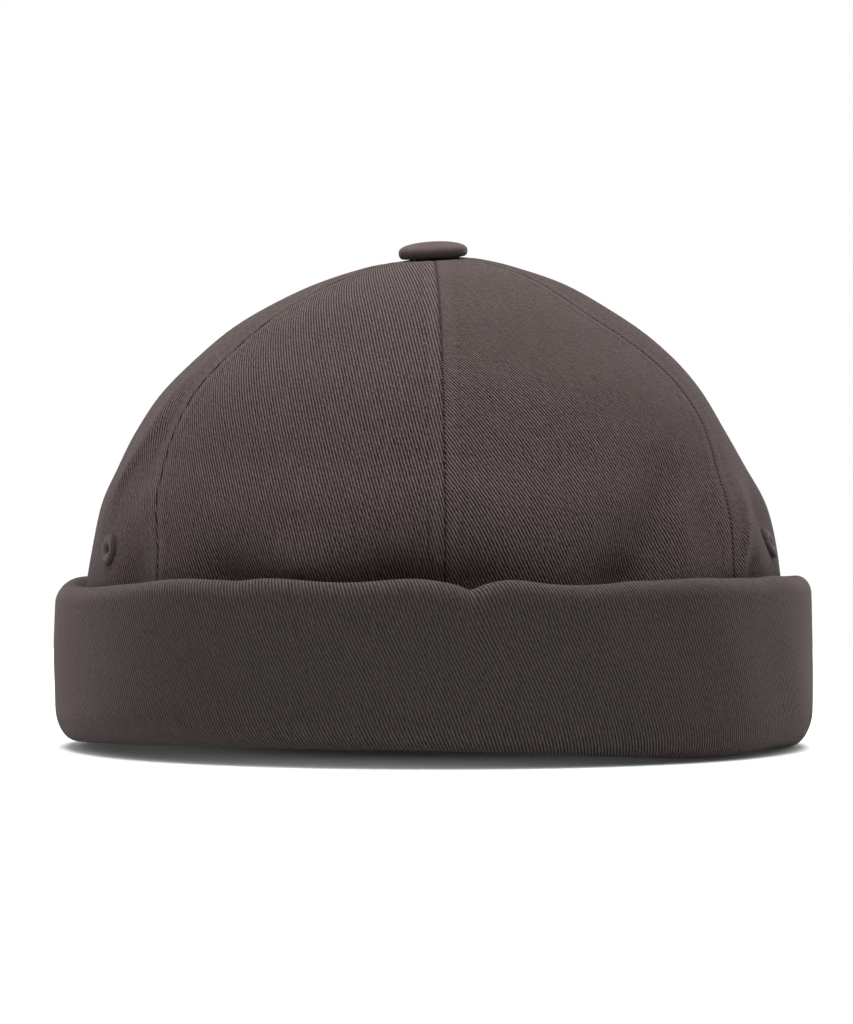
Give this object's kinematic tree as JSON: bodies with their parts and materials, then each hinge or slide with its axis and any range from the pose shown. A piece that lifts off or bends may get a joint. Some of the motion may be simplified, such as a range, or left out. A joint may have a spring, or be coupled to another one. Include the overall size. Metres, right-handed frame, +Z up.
{
  "type": "watch cap",
  "caption": "Brimless six-panel watch cap of dark cotton twill with a tall turned-up cuff, a covered top button and stitched eyelets.",
  "frame": {"origin": "centre of the cap's plan, on the surface that the cuff's bottom fold rests on", "axes": "+Z up through the top button, -Y the front with the front centre seam, +X the cap's right side as seen from the front"},
  "size_m": [0.1856, 0.1986, 0.124],
  "materials": {
    "crown_twill": "matt washed cotton twill with a steep diagonal rib",
    "cuff_twill": "matt washed cotton twill with a steep diagonal rib, doubled",
    "button_twill": "twill stretched over a domed button",
    "eyelet_thread": "close radial buttonhole stitches in tonal thread"
  },
  "bodies": {
    "root": {"panel_front_left": "crown_twill", "panel_front_right": "crown_twill", "panel_side_left": "crown_twill", "panel_side_right": "crown_twill", "panel_back_left": "crown_twill", "panel_back_right": "crown_twill", "cuff": "cuff_twill", "top_button": "button_twill", "eyelet_left": "eyelet_thread", "eyelet_right": "eyelet_thread"}
  },
  "joints": []
}
